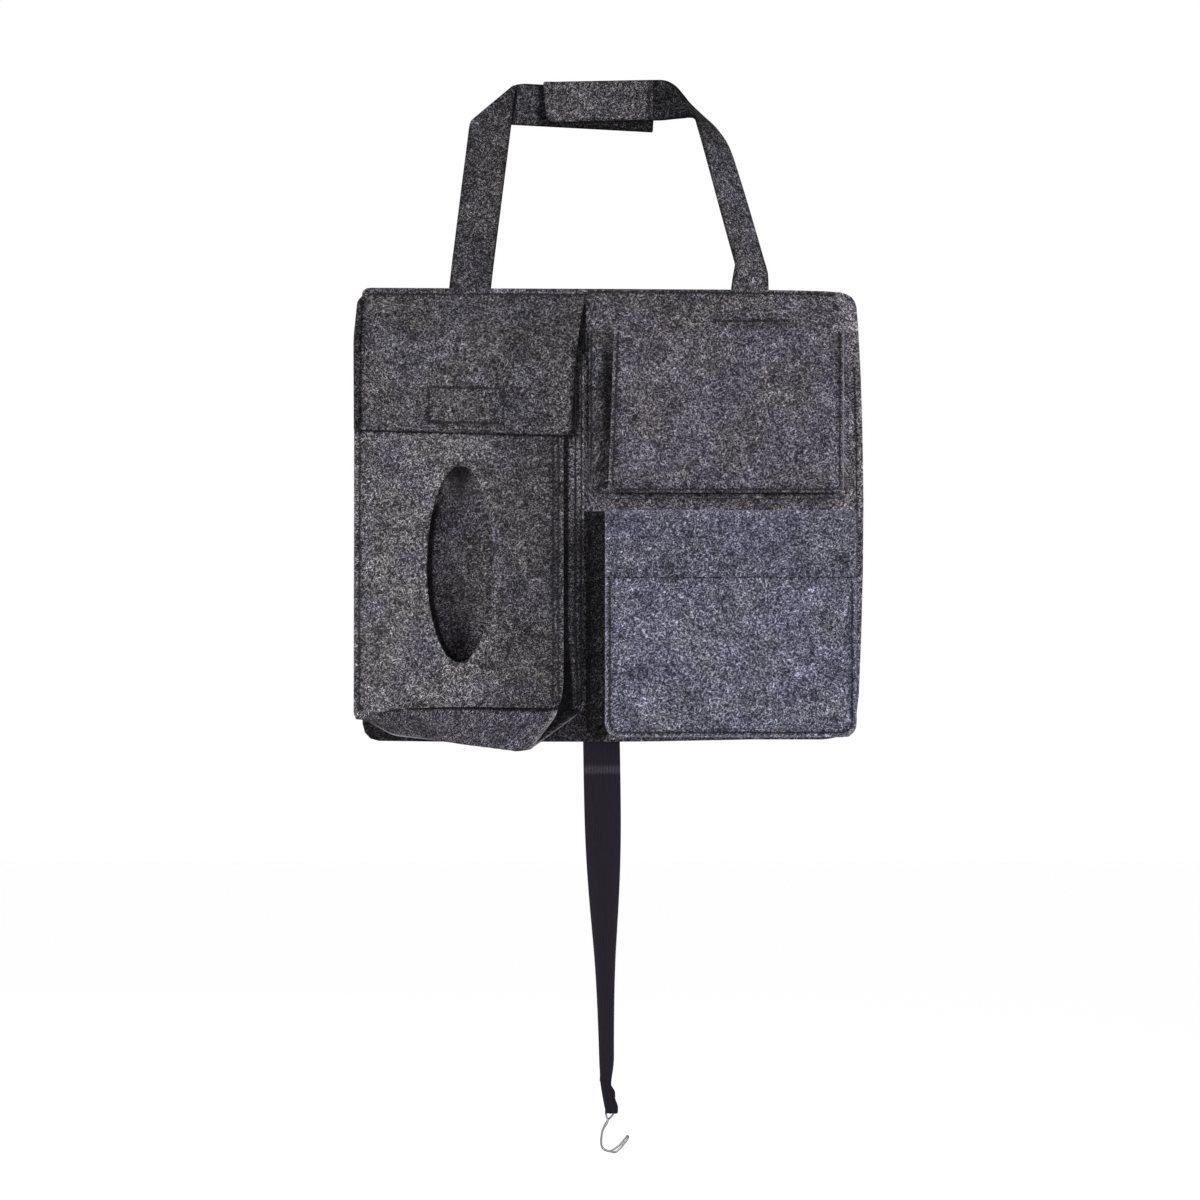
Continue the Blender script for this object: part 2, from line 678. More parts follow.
def panel_shade(s, t):
    u, v = (s - seen_middle[0]) / seen_reach[0], (t - seen_middle[1]) / seen_reach[1]
    crescent = smoothstep(np.hypot(u - CRESCENT, v), 0.96, 1.04) * (1 - smoothstep(u, 0, 0.4))
    crescent = crescent * (1 - smoothstep(v, 0.45, 0.85))
    hollow = 0.14 * smoothstep(-v, 0.1, 0.9) * (1 - smoothstep(u, -0.1, 0.8))
    below_slot = np.where(np.hypot(u, v) < 1.2, np.maximum(crescent, hollow), 0)
    wedge = (1 - smoothstep(abs(s + 30), 7.6, 8.4)) * (1 - smoothstep(abs(t + 174), 23.5, 25.5))
    beyond_floor = 0.68 * (1 - smoothstep(s, -8, -6)) * (1 - smoothstep(t, -494, -490))
    lit_top = 0.14 * smoothstep(v, 0.55, 0.9) * (np.hypot(u, v) < 1.2)
    return 0.95 * np.maximum(np.maximum(below_slot, wedge), beyond_floor) - lit_top


foot_line = np.array([(87, -164.6), (149, -164.4)])
top_seam = np.array([(-18, -140.4), (100, -141), (150, -141.7), (186, -142.8)])
side_seam = np.array([(203.4, -208), (205.0, -260), (205.8, -315), (205.4, -330)])
panel_seams = [foot_line, top_seam, side_seam]
turns = np.linspace(0, math.tau, 60)
shade_lines = [
    seen_middle + seen_reach * (share * np.c_[np.cos(turns), np.sin(turns)] + (CRESCENT, 0))
    for share in (0.96, 1, 1.04)
]
shade_lines += [np.array([(x, -150), (x, -190)]) for x in (-22.4, -21.6)]
sewn_felt(
    "panel", panel_outline, panel_surface, PANEL_FELT, felt_panel, panel_seams, "back_panel",
    ["headrest strap", "elastic strap"], creases=shade_lines, grid=(4.0, 4.0), shade=panel_shade,
    shade_back=False,
)


# Left half of the headrest strap: one strip that is folded back over a slanting edge
def crossing(p, u, q, v):
    share = ((q[0] - p[0]) * v[1] - (q[1] - p[1]) * v[0]) / (u[0] * v[1] - u[1] * v[0])
    return p + u * share


leg_ahead = np.array([math.sin(LEFT_LEAN), math.cos(LEFT_LEAN)])
leg_across = np.array([leg_ahead[1], -leg_ahead[0]])
band_ahead = np.array([math.cos(BAND_SLOPE), math.sin(BAND_SLOPE)])
band_up = np.array([-band_ahead[1], band_ahead[0]])
left_foot = np.array([LEFT_FOOT_X, STRAP_AXIS_Z])
left_edge = left_foot - leg_across * LEFT_STRAP_WIDTH / 2
right_edge = left_foot + leg_across * LEFT_STRAP_WIDTH / 2
band_low = np.array([0.0, -BAND_SAG])
band_high = band_low + band_up * LEFT_STRAP_WIDTH
fold_low = crossing(left_edge, leg_ahead, band_low, band_ahead)
fold_high = crossing(right_edge, leg_ahead, band_high, band_ahead)
fold_ahead = unit(fold_high - fold_low)
fold_beyond = np.array([-fold_ahead[1], fold_ahead[0]])
FOLD_RADIUS = 1.45
fold_low, fold_high = [spot - fold_beyond * math.pi * FOLD_RADIUS / 2 for spot in (fold_low, fold_high)]
LEG_Y = 1.45
FOOT_Y = PANEL_FELT + STRAP_FELT / 2 + 0.1
fold_reach = float((fold_low - left_edge) @ leg_ahead)
band_length = float((np.array([BAND_END, 0]) - fold_low) @ band_ahead)
left_length = fold_reach + band_length


def strap_depth(z, rest):
    return lerp(FOOT_Y, rest, smoothstep(z, -139.5, -112))


def left_strap_surface(s, t):
    spot = left_foot + np.multiply.outer(s, leg_across) + np.multiply.outer(t, leg_ahead)
    beyond = (spot - fold_low) @ fold_beyond
    half_turn = math.pi * FOLD_RADIUS
    angle = np.clip(beyond, 0, half_turn) / FOLD_RADIUS
    over = np.where(beyond > 0, FOLD_RADIUS * np.sin(angle), beyond)
    over = np.where(beyond > half_turn, half_turn - beyond, over)
    spot = spot + np.multiply.outer(over - beyond, fold_beyond)
    y = strap_depth(spot[:, 1], LEG_Y) + FOLD_RADIUS * (1 - np.cos(angle))
    sway = 1.1 * np.sin(np.pi * np.clip(t / fold_reach, 0, 1)) * (s / 17.5) ** 2
    return np.stack([spot[:, 0], y - sway, spot[:, 1]], axis=-1)


half_left = LEFT_STRAP_WIDTH / 2
fold_flat = np.array([
    [float((p - left_foot) @ leg_across), float((p - left_foot) @ leg_ahead)] for p in (fold_low, fold_high)
])
fold_side = unit(np.array([-(fold_flat[1] - fold_flat[0])[1], (fold_flat[1] - fold_flat[0])[0]]))
# The strip's edges are rubbed round where the fold crosses them
crest_low, crest_high = (fold_flat + fold_side * math.pi * FOLD_RADIUS / 2)[:, 1]
left_outline = rounded(
    [
        (-half_left, -FOOT_HEIGHT), (half_left, -FOOT_HEIGHT), (half_left, crest_high - 9),
        (half_left - 0.4, crest_high - 6), (half_left - 2.4, crest_high - 2.4),
        (half_left - 0.7, crest_high + 1.2),
        (half_left, crest_high + 6), (half_left, left_length), (-half_left, left_length),
        (-half_left, crest_low + 4), (-half_left + 1.2, crest_low + 1), (-half_left, crest_low - 4),
    ],
    [1.5, 1.5, 1.5, 1.5, 0.4, 1.2, 2, 1.5, 1.5, 2, 1, 2],
)
fold_lines = [fold_flat + fold_side * offset for offset in np.arange(-0.8, 5.6, 0.56)]
left_box = [closed_line(rectangle(-half_left + 3, half_left - 3, -FOOT_HEIGHT + 3, -7))]
left_edge_shade = dark_edge(left_outline, 0.5, 1.6)


# The leg lies in front of the band and keeps the light off it beside its own edge
def beside_leg(offset):
    line = right_edge + leg_across * offset + np.multiply.outer(np.linspace(100, 190, 30), leg_ahead)
    over = (line - fold_low) @ fold_beyond
    unfolded = line + np.multiply.outer(math.pi * FOLD_RADIUS - 2 * over, fold_beyond) - left_foot
    return np.c_[unfolded @ leg_across, unfolded @ leg_ahead]


def left_strap_shade(s, t):
    unfolded = left_foot + np.multiply.outer(s, leg_across) + np.multiply.outer(t, leg_ahead)
    on_band = (unfolded - fold_low) @ fold_beyond > math.pi * FOLD_RADIUS
    clear = (left_strap_surface(s, t)[:, [0, 2]] - right_edge) @ leg_across
    return np.maximum(left_edge_shade(s, t), 0.85 * on_band * (1 - smoothstep(clear, 0.5, 2.4)))


left_strap = cloth(
    "left_strap_cloth", left_outline, left_strap_surface, STRAP_FELT, felt_left_strap, seams=left_box,
    creases=fold_lines + [beside_leg(offset) for offset in (0.5, 1.4, 2.4)], grid=(2.4, 2.4),
    shade=left_strap_shade,
)
left_threads = stitch_rows("left_strap_stitches", left_box, left_strap_surface, STRAP_FELT, side=-1)
bend(left_strap, "felt", ("headrest_strap", "panel"), *STRAP_BEND, "strap_left", "strap_foot_left")
ride(left_threads, "panel", "felt")
declare(left_outline)

# Right half of the headrest strap: it twists on its way up and turns to the left at its corner
# Each row is the outer edge, then the inner edge, from the foot to the tab
right_rails = np.array([
    [(131.6, FOOT_Y, -170), (100.3, FOOT_Y, -170)],
    [(131.8, FOOT_Y, -155), (100.3, FOOT_Y, -155)],
    [(131.9, FOOT_Y, -140), (100.3, FOOT_Y, -139)],
    [(131.9, 6.4, -131), (101.2, 1.0, -130)],
    [(131.6, 8.6, -123.5), (102.7, -2.6, -121)],
    [(130.7, 9.6, -119.5), (103.2, -3.6, -118)],
    [(129.5, 10.5, -115), (102.1, -4.8, -113.8)],
    [(126.9, 11.6, -106), (99.5, -7.0, -105)],
    [(120.0, 12.2, -82), (91.8, -9.6, -78)],
    [(109.2, 12.4, -46), (81.5, -10.4, -40)],
    [(99.4, 12.6, -17), (74.6, -11.6, -15)],
    [(88.9, 13.0, -0.8), (71.4, -12.6, -4)],
    [(77.2, 13.0, 10.2), (69.6, -12.6, 2.2)],
    [(66.0, 11.2, 20.4), (65.5, -10.6, 4.1)],
    [(59.4, 6.5, 27.4), (58.0, -6.4, 4.2)],
    [(52.4, 1.6, 33.8), (50.0, -2.6, 4.2)],
    [(44.4, -1.2, 37.0), (43.0, -1.6, 3.6)],
    [(34.4, -1.5, 37.3), (34.4, -1.5, 3.4)],
])
rail_middles = right_rails.mean(axis=1)
rail_run = np.r_[0, np.cumsum(np.linalg.norm(np.diff(rail_middles, axis=0), axis=1))]
right_length = float(rail_run[-1])


def along_rail(points, place):
    place = np.clip(place, 0, len(points) - 1)
    k = np.minimum(place.astype(int), len(points) - 2)
    t = (place - k)[:, None]
    p0 = points[np.maximum(k - 1, 0)]
    p1, p2 = points[k], points[k + 1]
    p3 = points[np.minimum(k + 2, len(points) - 1)]
    return 0.5 * (
        2 * p1 + (p2 - p0) * t + (2 * p0 - 5 * p1 + 4 * p2 - p3) * t**2 + (3 * p1 - p0 - 3 * p2 + p3) * t**3
    )


def right_strap_surface(s, t):
    place = np.interp(t, rail_run, np.arange(len(rail_run)))
    place = np.where(t < 0, t / rail_run[1], place)
    outer = along_rail(right_rails[:, 0], place)
    inner = along_rail(right_rails[:, 1], place)
    share = (s / RIGHT_STRAP_WIDTH + 0.5)[:, None]
    return lerp(inner, outer, share)


half_right = RIGHT_STRAP_WIDTH / 2
right_outline = rectangle(-half_right, half_right, 0.5, right_length, 0.4)
right_box = [closed_line(rectangle(-half_right + 3, half_right - 3, 3.5, 26))]
right_strap = cloth(
    "right_strap_cloth", right_outline, right_strap_surface, STRAP_FELT, felt_right_strap, seams=right_box,
    grid=(2.0, 2.0), shade=dark_edge(right_outline, 0.55, 1.6),
)
right_threads = stitch_rows("right_strap_stitches", right_box, right_strap_surface, STRAP_FELT, side=-1)
bend(right_strap, "felt", ("headrest_strap", "panel"), *STRAP_BEND, "strap_right", "strap_foot_right")
ride(right_threads, "panel", "felt")
declare(right_outline)

# Tab: the end of the right half, which lies on the left one
TAB_Y = -1.35
tab_outline = rounded(
    [(-55.2, 2.0), (-30, 2.6), (10, 3.6), (34.8, 4.0), (34.8, 37.4), (-10, 36.6), (-57.8, 35.6)],
    [8, 20, 20, 0.6, 0.6, 20, 2.5],
)


def tab_surface(s, t):
    lift = 1.2 * smoothstep(-s, 46, 58)
    return np.stack([s, TAB_Y - lift, t], axis=-1)


tab_seams = [np.array([(31.2, 6.0), (31.2, 35.6)])]
tab = cloth(
    "tab_cloth", tab_outline, tab_surface, STRAP_FELT, felt_tab, seams=tab_seams, grid=(2.2, 2.2),
    shade=dark_edge(tab_outline, 0.4, 1.4),
)
tab_threads = stitch_rows("tab_stitches", tab_seams, tab_surface, STRAP_FELT)
for piece in (tab, tab_threads):
    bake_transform(piece)
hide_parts("strap_tab")
declare(tab_outline)


# Hook-and-loop patches
def patch(name, size, middle, lean, material, body, node):
    width, height = size
    outline = rectangle(-width / 2, width / 2, -height / 2, height / 2, 1.0)
    border = [closed_line(rectangle(-width / 2 + 2, width / 2 - 2, -height / 2 + 2, height / 2 - 2))]

    def surface(s, t):
        return np.stack([middle[0] + s, middle[1] + t * math.tan(lean), middle[2] + t], axis=-1)

    piece = cloth(name, outline, surface, PATCH_FELT, material, grid=(2.5, 2.5))
    side = -1 if "loop" in name else 1
    threads = stitch_rows(name + "_stitches", border, surface, PATCH_FELT + 0.6, side=side)
    ride(piece, body, "hook_and_loop", node)
    ride(threads, body, "hook_and_loop")
    declare(outline)


strap_patch_x = TAB_HINGE - TAB_LENGTH / 2
strap_patch_z = 3 + RIGHT_STRAP_WIDTH / 2 - BAND_SAG / 2
patch(
    "strap_loops", STRAP_PATCH, (strap_patch_x, 0.9, strap_patch_z), 0, loop_tape, "tab",
    "strap_loop_patch",
)
patch(
    "strap_hooks", STRAP_PATCH, (strap_patch_x, 2.1, strap_patch_z), 0, hook_tape, "headrest_strap",
    "strap_hook_patch",
)


# Pockets: four corners on the panel, four of the face in front of it, and the depth between them
def pocket_of(base, face, mouth_depth, floor_depth, fold):
    def corners(top, bottom, left, right, top_left):
        return {
            "topLeft": np.array([across(top_left), down(top)]),
            "topRight": np.array([across(right), down(top)]),
            "bottomLeft": np.array([across(left), down(bottom)]),
            "bottomRight": np.array([across(right), down(bottom)]),
        }

    top, bottom = down(face[0]), down(face[1])

    def depth_at(z):
        return mouth_depth + (floor_depth - mouth_depth) * (z - top) / (bottom - top)

    return {
        "base": corners(*base), "face": corners(*face), "top": top, "bottom": bottom, "depth_at": depth_at,
        "fold": fold,
    }


pouch = pocket_of(
    (0.1195, 0.93, -0.488, -0.056, -0.488), (0.1195, 0.9405, -0.505, -0.0964, -0.505),
    *POUCH_DEPTHS, POUCH_FOLD,
)
upper = pocket_of(
    (0.0945, 0.4616, -0.0476, 0.474, -0.0476), (0.0945, 0.4524, -0.0083, 0.4595, 0.0036),
    UPPER_DEPTH, UPPER_DEPTH, POCKET_FOLD,
)
lower = pocket_of(
    (0.4895, 0.9932, -0.0524, 0.4905, -0.0524), (0.4895, 0.9832, -0.0143, 0.48, -0.0143),
    LOWER_DEPTH, LOWER_DEPTH, POCKET_FOLD,
)

SEAM_Y = CLEAR + FELT / 2


def gusset_surface(pocket, start, end, inward, profile, start_cut, end_cut, width, length):
    inward = np.array(inward, float)

    def corner(key, w):
        return lerp(pocket["base"][key], pocket["face"][key], w)

    def stations(t):
        spots = []
        for u, w in profile(t):
            a, b = corner(start, w), corner(end, w)
            ahead = unit(b - a)
            near = a + np.multiply.outer(start_cut(u, w), ahead) + np.multiply.outer(u, inward)
            far = b - np.multiply.outer(end_cut(u, w), ahead) + np.multiply.outer(u, inward)
            spot = near + (far - near) * t[:, None]
            y = -lerp(SEAM_Y, pocket["depth_at"](spot[:, 1]) - SEAM_Y, w)
            spots.append(np.stack([spot[:, 0], y, spot[:, 1]], axis=-1))
        return np.stack(spots, axis=1)

    def surface(s, t):
        spots = stations(t / length)
        steps = np.linalg.norm(np.diff(spots, axis=1), axis=2)
        run = np.concatenate([np.zeros((len(s), 1)), np.cumsum(steps, axis=1)], axis=1)
        total = run[:, -1]
        result = np.zeros((len(s), 3))
        offsets = np.linspace(-1.7, 1.7, 9)
        for offset in offsets:
            at = np.clip(s / width * total + offset * np.minimum(1, np.minimum(s, width - s) / 2), 0, total)
            k = np.clip(np.sum(run[:, 1:-1] <= at[:, None], axis=1), 0, steps.shape[1] - 1)
            rows = np.arange(len(s))
            share = (at - run[rows, k]) / np.maximum(steps[rows, k], 1e-6)
            result += lerp(spots[rows, k], spots[rows, k + 1], np.clip(share, 0, 1)[:, None])
        return result / len(offsets)

    return surface


def fold_at(share, fold):
    return fold * smoothstep(share, 0, 0.25)


def folded_in(pocket, key, inward, corner_share):
    face, base = pocket["face"][key], pocket["base"][key]
    shift = float((face - base) @ np.array(inward))
    deepest = max(0, shift) - shift / 2

    def profile(t):
        fold = fold_at(corner_share(t), pocket["fold"])
        flat = 0 * t
        return [
            (flat, 0), (flat + FLANGE, 0), (flat + FLANGE + deepest + fold, 0.5), (flat + FLANGE, 1),
            (flat, 1)
        ]

    return profile


def corner_cut(u, w):
    return np.maximum(u, 0) + FELT


def no_cut(u, w):
    return 0 * u


def felt_cut(u, w):
    return 0 * u + FELT


GUSSET_CORNER = 12
SEAM_IN = 2.6


def gusset(
    name, pocket, start, end, inward, profile, start_cut, end_cut, node, material, face, stitched=(),
    shade=None,
    trimmed=False,
):
    base = pocket["base"]
    length = float(np.linalg.norm(base[end] - base[start]))
    middle = profile(np.array([0.5]))
    depth = pocket["depth_at"](pocket["bottom"])
    width = 0.0
    for (u0, w0), (u1, w1) in zip(middle, middle[1:]):
        width += math.hypot(float(u1[0] - u0[0]), (w1 - w0) * depth)
    surface = gusset_surface(pocket, start, end, inward, profile, start_cut, end_cut, width, length)
    radii = [0, 0, 8, GUSSET_CORNER] if start[:3] == "top" else [GUSSET_CORNER, 6, 6, GUSSET_CORNER]
    corners = [(0, 0), (width, 0), (width, length), (0, length)]
    if trimmed:
        corners[3:] = [(9, length), (3.5, length - 10), (0, length - 24)]
        radii[3:] = [3, 8, 6]
    outline = rounded(corners, radii)
    line = [np.array([(at, 4.0), (at, length - 6)]) for at in stitched]
    piece = cloth(
        name, outline, surface, FELT, material, seams=line, grid=(1.1, 5.0),
        shade=(lambda s, t: shade(s, t, width)) if shade else None,
    )
    ride(piece, "panel", "felt", node)
    threads = []
    if stitched:
        normal = surface_frame(surface, np.array([[2.6, length / 2]]))[1][0]
        threads = [stitch_rows(name + "_stitches", line, surface, FELT, side=-1 if normal[1] > 0 else 1)]
        ride(threads[0], "panel", "felt")
    declare(outline)


def pocket_gussets(
    prefix, pocket, cut, floor_profile, floor_cuts, materials, right_seams, shades, trimmed=False
):
    left_felt, right_felt, floor_felt = materials
    face = prefix + "_face_cloth"
    gusset(
        prefix + "_left_gusset", pocket, "topLeft", "bottomLeft", (1, 0),
        folded_in(pocket, "bottomLeft", (1, 0), lambda t: 1 - t), no_cut, cut, prefix + "_gusset_left",
        left_felt, face,
        (SEAM_IN,), shades[0],
    )
    gusset(
        prefix + "_right_gusset", pocket, "topRight", "bottomRight", (-1, 0),
        folded_in(pocket, "bottomRight", (-1, 0), lambda t: 1 - t), no_cut, cut, prefix + "_gusset_right",
        right_felt,
        face, right_seams, shades[1], trimmed,
    )
    gusset(
        prefix + "_floor_gusset", pocket, "bottomLeft", "bottomRight", (0, 1), floor_profile, *floor_cuts,
        prefix + "_gusset_floor", floor_felt, face, (), shades[2], trimmed,
    )


# The pouch's floor is gathered to a point at its right end, below the face's corner
FLOOR_GATHER = 10
FLOOR_TUCK = 8


def pouch_floor_profile(t):
    places, shares = zip(*FLOOR_DROP_SHARES)
    drop = FLOOR_DROP * np.interp(t, places, shares)
    flat = 0 * t
    return [(flat + FLANGE, 0), (flat, 0), (-drop, 0.5), (flat, 1), (flat + FLANGE + FLOOR_TUCK, 1)]


def gathered_cut(u, w):
    return 1 + 0.75 * np.clip(FLOOR_TUCK * w - u, 0, 40) + FLOOR_GATHER * (1 - abs(2 * w - 1))


def plain_cut(u, w):
    return 0 * u + 1


# The floor's front half is dark just below the face, and its back half is dark but for its cut edge
FLOOR_LENGTH = across(-0.056) - across(-0.488)


def floor_shade(s, t, width):
    below = width - np.interp(t, [0, 10, 19, 32, 45, 85], [19, 15, 12.2, 9.2, 7.3, 6.4])
    front = 0.95 * smoothstep(s, below, below + 1.3)
    back = 0.85 * (1 - smoothstep(s, width / 2 - 3, width / 2 - 1))
    lit = 1.4 * smoothstep(t, FLOOR_LENGTH - 1.6, FLOOR_LENGTH - 0.3)
    crest = 1.5 * (1 - smoothstep(abs(s - width / 2), 0.5, 1.6)) * (1 - smoothstep(t, 60, 90))
    return np.maximum(front, back) - np.maximum(lit, crest)


def dark_beside_face(s, t, width):
    start = np.interp(t, [0, 12, 25, 72, 84], [-3, 0, 3, 3.6, 14.6])
    return 0.93 * smoothstep(s, start, start + 1.5)


def dark_towards_face(s, t, width):
    near_face = smoothstep(s, 8, 15) * (0.4 + 0.6 * smoothstep(t, 0, 40)) * (1 - 0.6 * smoothstep(t, 85, 130))
    return 0.05 + 0.25 * smoothstep(t, 5, 45) + 0.55 * near_face


pocket_gussets(
    "pouch", pouch, felt_cut, pouch_floor_profile, (plain_cut, gathered_cut),
    (felt_gusset, felt_flange, felt_floor),
    (SEAM_IN, 8.6), (None, dark_beside_face, floor_shade),
)
for prefix, pocket, materials, right_seams, shades in (
    ("upper_pocket", upper, (felt_gusset, felt_margin, felt_gusset), (), (dark_towards_face, None, None)),
    ("lower_pocket", lower, (felt_shaded, felt_gusset, felt_gusset), (SEAM_IN,),
     (None, None, lambda s, t, width: 0.93 * (1 - smoothstep(t, 6, 18)))),
):
    floor_profile = folded_in(pocket, "bottomLeft", (0, 1), lambda t: 2 * np.minimum(t, 1 - t))
    pocket_gussets(
        prefix, pocket, corner_cut, floor_profile, (corner_cut, corner_cut), materials, right_seams, shades,
        prefix == "lower_pocket",
    )


# Faces of the pockets
def face_surface(pocket, crown=0.0):
    left, right = pocket["face"]["bottomLeft"][0], pocket["face"]["bottomRight"][0]
    top, bottom = pocket["top"], pocket["bottom"]

    def surface(s, t):
        u = np.clip((s - left) / (right - left), 0, 1)
        v = np.clip((top - t) / (top - bottom), 0, 1)
        rise = crown * np.sin(np.pi * u) * np.sin(np.pi * smoothstep(v, 0.22, 1))
        y = -(pocket["depth_at"](t) + FELT / 2) - rise
        return np.stack([s, y, t], axis=-1)

    return surface


def side_seams(left_top, left_bottom, right_bottom, right_top, inset_by, corner):
    corners = [
        (left_top[0] + inset_by, left_top[1] - 4), (left_bottom[0] + inset_by, left_bottom[1] + inset_by),
        (right_bottom[0] - inset_by, right_bottom[1] + inset_by), (right_top[0] - inset_by, right_top[1] - 4),
    ]
    return rounded(corners, [0, corner, corner, 0])


pouch_surface = face_surface(pouch, 2.2)
pouch_outline = rounded(
    [
        (-214.4, -184), (-212.1, -495.9), (-203.5, -495.3), (-186, -489.6), (-160, -487.4), (-120, -486.6),
        (-43, -487.8), (-39.9, -470), (-40.5, -184),
    ],
    [0, 5, 4, 12, 14, 20, 8, 12, 0],
)
slot_angles = np.linspace(0, math.tau, 72, endpoint=False)
slot_centre, slot_reach = np.array([-125.3, -369.5]), np.array([27, 80.5])
slot = slot_centre + slot_reach * np.c_[np.cos(slot_angles), np.sin(slot_angles)]


def dark_left_rim(s, t):
    beyond = np.hypot((s - slot_centre[0]) / slot_reach[0], (t - slot_centre[1]) / slot_reach[1]) - 1
    return 0.9 * (1 - smoothstep(beyond * slot_reach[0], 0.05, 0.6)) * (1 - smoothstep(s, -130, -105))


pouch_seams = [
    np.array([(-209.2, -188), (-207.8, -470), (-207.4, -489)]), np.array([(-44.8, -188), (-44.2, -482)]),
    np.array([(-48.9, -188), (-48.6, -484)]),
]


def pouch_shade(s, t):
    lit_right = smoothstep(s, -42.2, -41) * (1 - smoothstep(t, -500, -484))
    rim = 0.7 * np.exp(-(((s + 49.1) / 0.8) ** 2)) * smoothstep(t, -430, -350)
    return np.maximum(dark_left_rim(s, t), rim) - 0.9 * lit_right


sewn_felt(
    "pouch_face", pouch_outline, pouch_surface, FELT, felt_pouch, pouch_seams, "pouch_face",
    ["pouch_left_gusset", "pouch_right_gusset"], abs(signed_area(slot)), holes=[slot], grid=(3.2, 3.2),
    shade=pouch_shade,
)


def face_corners(pocket):
    return [pocket["face"][key] for key in ("topLeft", "bottomLeft", "bottomRight", "topRight")]


upper_surface = face_surface(upper, 1.2)
upper_corners = face_corners(upper)
upper_right = float(upper_corners[2][0])
upper_outline = rounded(upper_corners, [0, 6, 7, 0])
upper_seams = [side_seams(*upper_corners, 3.6, 5)]


def upper_shade(s, t):
    dark_bottom = 0.9 * (1 - smoothstep(t - upper["bottom"], 0.3, 1.6))
    return dark_bottom - 0.9 * smoothstep(s, upper_right - 1.5, upper_right)


sewn_felt(
    "upper_pocket_face", upper_outline, upper_surface, FELT, felt_upper, upper_seams, "upper_pocket_face",
    ["upper_pocket_left_gusset", "upper_pocket_right_gusset"], shade=upper_shade,
)

lower_surface = face_surface(lower)
lower_corners = face_corners(lower)
lower_outline = rounded(lower_corners, [0, 13, 13, 0])
lower_face = cloth(
    "lower_pocket_face_cloth", lower_outline, lower_surface, FELT, felt_rear,
    shade=dark_edge(lower_outline, -0.35, 1.5),
)
ride(lower_face, "panel", "felt", "lower_pocket_face")
declare(lower_outline)

# Slip pocket: sewn down at its sides and bottom, and slack in between
slip_top = down(0.6353)
slip_left, slip_right, slip_bottom = lower_corners[1][0], lower_corners[2][0], lower["bottom"]


def slip_surface(s, t):
    rise = smoothstep(s - slip_left, FLANGE, FLANGE + SLIP_RAMP)
    rise = rise * smoothstep(slip_right - s, FLANGE, FLANGE + SLIP_RAMP)
    rise = rise * smoothstep(t - slip_bottom, FLANGE, FLANGE + SLIP_RAMP)
    y = -(LOWER_DEPTH + FELT + CLEAR + FELT / 2) - SLIP_GAP * rise
    return np.stack([s, y, t], axis=-1)


slip_corners = [
    (slip_left, slip_top), (slip_left, slip_bottom), (slip_right, slip_bottom), (slip_right, slip_top)
]
slip_outline = rounded(slip_corners, [1.5, 13, 13, 1.5])
slip_seams = [side_seams(*[np.array(c) for c in slip_corners], 4.0, 10)]
lit_slip = dark_edge(slip_outline, -0.4, 1.5)
sewn_felt(
    "slip_pocket", slip_outline, slip_surface, FELT, felt_lower, slip_seams, "slip_pocket",
    ["lower_pocket_face_cloth"],
    shade=lambda s,
    t: np.where(slip_top - t < 1.4, 0.9 * (1 - smoothstep(slip_top - t, 0.1, 1.2)), lit_slip(s, t)),
)

# Flap: sewn to the panel by its top edge, and bent over the pouch's mouth
flap_knee_z = pouch["top"] + FELT
flap_end_z = pouch["top"] - FLAP_LENGTH
flap_path = np.array([
    (-0.6 - FELT / 2, -141.2), (-0.7 - FELT / 2, -145.0), FLAP_HINGE,
    (-pouch["depth_at"](flap_knee_z) - FLAP_OFFSET, flap_knee_z),
    (-pouch["depth_at"](flap_end_z) - FLAP_OFFSET, flap_end_z),
])
dense_path = densify(flap_path, 0.5, closed=False)
window = 17
padded = np.vstack([
    2 * dense_path[0] - dense_path[window // 2:0:-1], dense_path,
    2 * dense_path[-1] - dense_path[-2:-window // 2 - 1:-1],
])
kernel = np.ones(window) / window
smooth_path = np.c_[np.convolve(padded[:, 0], kernel, "valid"), np.convolve(padded[:, 1], kernel, "valid")]
flap_run = np.r_[0, np.cumsum(np.linalg.norm(np.diff(smooth_path, axis=0), axis=1))]
flap_length = float(flap_run[-1])


# The flap's left edge is turned back, behind a stitched line
FLAP_HEM = 207.9
FLAP_HEM_STEP = 1.8


def flap_surface(s, t):
    y = np.interp(-t, flap_run, smooth_path[:, 0])
    z = np.interp(-t, flap_run, smooth_path[:, 1])
    y = np.where(-t > flap_length, y - (-t - flap_length) * 0.06, y)
    z = np.where(-t > flap_length, z - (-t - flap_length), z)
    z = np.where(-t < 0, z + t * -1.0, z)
    bottom = -4.6 * np.clip((s + 207) / 175, 0, 1) * smoothstep(-t, 40, flap_length)
    y = y + FLAP_HEM_STEP * smoothstep(-s, FLAP_HEM - 0.6, FLAP_HEM + 1.4)
    return np.stack([s, y, z + bottom], axis=-1)


flap_cut = flap_length - 5.4
flap_outline = rounded(
    [
        (-207, 0.4), (-213.6, -7), (-214.6, -45), (-213.6, -flap_cut), (-32.8, -flap_cut), (-30.9, -78),
        (-29.3, -57),
        (-27.2, -35), (-23.4, -8), (-22.9, -1),
    ],
    [3, 4, 12, 3, 9, 6, 6, 6, 6, 2],
)
flap_edge_shade = dark_edge(flap_outline, 0.95, 1.9)
flap_knee_share = float(np.interp(-flap_knee_z, -smooth_path[:, 1], flap_run))
patch_centre = (FLAP_PATCH_X, -(flap_knee_share + (flap_knee_z - FLAP_PATCH_SEEN_Z)))
flap_seams = [
    closed_line(rectangle(patch_centre[0] - 31, patch_centre[0] + 31, patch_centre[1] - 14, patch_centre[1] + 14)),
    np.array([(-203, -1.6), (-25, -1.6)]),
    np.array([(-FLAP_HEM, -8), (-FLAP_HEM, -flap_cut + 2)]),
]
